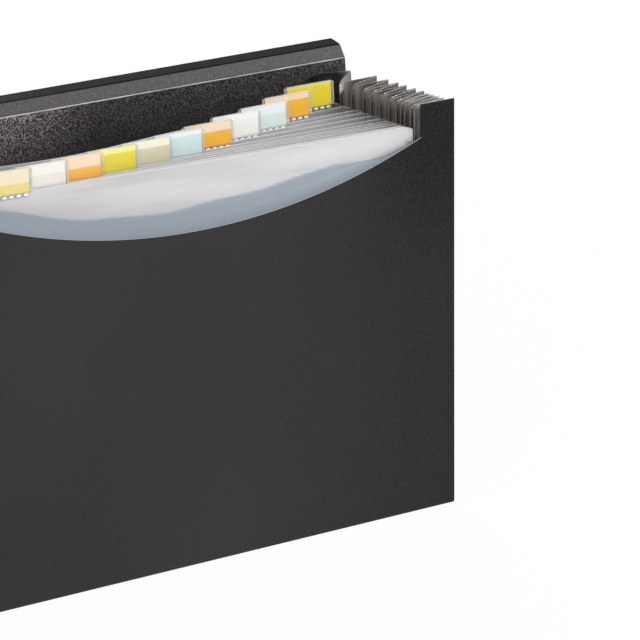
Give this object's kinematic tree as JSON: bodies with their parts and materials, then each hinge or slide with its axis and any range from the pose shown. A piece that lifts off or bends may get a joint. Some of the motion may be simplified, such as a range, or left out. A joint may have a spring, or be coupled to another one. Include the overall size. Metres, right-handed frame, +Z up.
{
  "type": "expanding file folder",
  "caption": "Expanding file folder with a stiff cover, pleated film sides, clear dividers with coloured index tabs, and a scored flap thrown back behind it.",
  "frame": {"origin": "middle of the cover's flat underside, which the folder stands on", "axes": "+X to the right along the folder's width, -Y to the front panel, +Z up"},
  "size_m": [0.344, 0.1376, 0.2518],
  "materials": {
    "cover_sheet": "matt black sheet with a fine sand grain",
    "button_plastic": "moulded black",
    "eyelet_metal": "bright rolled metal",
    "gusset_film": "smoky see-through film",
    "divider_film": "frosted clear film",
    "card_yellow": "plain card",
    "card_orange": "plain card",
    "card_white": "plain card",
    "card_blue": "plain card",
    "card_beige": "plain card",
    "card_olive": "plain card",
    "card_straw": "plain card"
  },
  "bodies": {
    "bag": {"cover": "cover_sheet", "gusset_right": "gusset_film", "gusset_left": "gusset_film", "divider_01": "divider_film", "divider_02": "divider_film", "divider_03": "divider_film", "divider_04": "divider_film", "divider_05": "divider_film", "divider_06": "divider_film", "divider_07": "divider_film", "divider_08": "divider_film", "divider_09": "divider_film", "divider_10": "divider_film", "divider_11": "divider_film", "tab_card_01": "card_straw", "tab_card_02": "card_white", "tab_card_03": "card_orange", "tab_card_04": "card_olive", "tab_card_05": "card_beige", "tab_card_06": "card_blue", "tab_card_07": "card_orange", "tab_card_08": "card_white", "tab_card_09": "card_blue", "tab_card_10": "card_orange", "tab_card_11": "card_yellow"},
    "strip_1": {"flap_strip_1": "cover_sheet"},
    "strip_2": {"flap_strip_2": "cover_sheet"},
    "strip_3": {"flap_strip_3": "cover_sheet"},
    "flap": {"flap_panel": "cover_sheet", "button_spacer": "button_plastic", "button_disc": "button_plastic", "button_eyelet": "eyelet_metal"}
  },
  "joints": [
    {"name": "crease_1", "type": "hinge", "parent": "bag", "child": "strip_1", "pos_m": [0, 0.06489, 0.2429], "axis": [1, 0, 0], "range_deg": [0, 56]},
    {"name": "crease_2", "type": "hinge", "parent": "strip_1", "child": "strip_2", "pos_m": [0, 0.06986, 0.2498], "axis": [1, 0, 0], "range_deg": [0, 67.3]},
    {"name": "crease_3", "type": "hinge", "parent": "strip_2", "child": "strip_3", "pos_m": [0, 0.07818, 0.25154], "axis": [1, 0, 0], "range_deg": [0, 72]},
    {"name": "crease_4", "type": "hinge", "parent": "strip_3", "child": "flap", "pos_m": [0, 0.08513, 0.24664], "axis": [1, 0, 0], "range_deg": [0, 81.8]}
  ]
}
